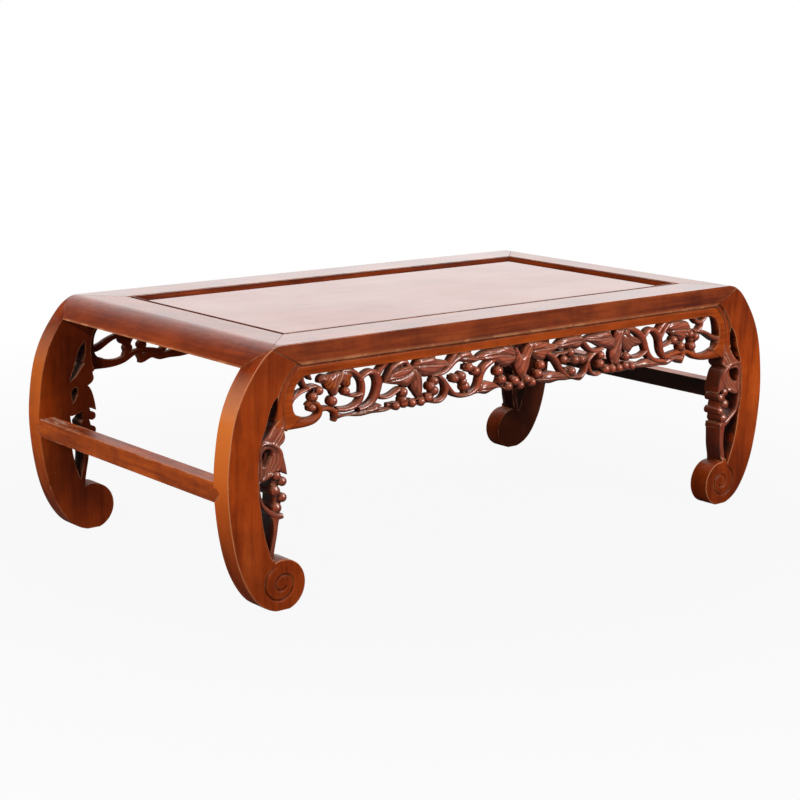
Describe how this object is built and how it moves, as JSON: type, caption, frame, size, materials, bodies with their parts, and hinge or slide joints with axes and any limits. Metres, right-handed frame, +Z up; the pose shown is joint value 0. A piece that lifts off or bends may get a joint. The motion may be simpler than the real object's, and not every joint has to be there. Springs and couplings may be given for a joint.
{
  "type": "kang table",
  "caption": "Low rectangular kang table of joined hardwood with a framed floating panel, rounded ends, C-shaped legs on scroll feet, end stretchers and pierced vine aprons.",
  "frame": {"origin": "middle of the floor rectangle under the table", "axes": "+X along the length, +Z up, the front long side faces -Y"},
  "size_m": [0.9142, 0.461, 0.312],
  "materials": {
    "frame_wood": "polished reddish brown hardwood",
    "panel_wood": "polished reddish brown hardwood",
    "leg_wood": "polished reddish brown hardwood with lighter worn edges",
    "carved_wood": "waxed hardwood, worn light on the high points and dark in the hollows",
    "under_wood": "unpolished dark hardwood"
  },
  "bodies": {
    "root": {"top_rail_front": "frame_wood", "top_rail_back": "frame_wood", "top_end_left": "frame_wood", "top_end_right": "frame_wood", "top_panel": "panel_wood", "panel_batten_left": "under_wood", "panel_batten_right": "under_wood", "leg_front_left": "leg_wood", "leg_front_right": "leg_wood", "leg_back_left": "leg_wood", "leg_back_right": "leg_wood", "stretcher_left": "frame_wood", "stretcher_right": "frame_wood", "apron_front": "carved_wood", "apron_back": "carved_wood"}
  },
  "joints": []
}
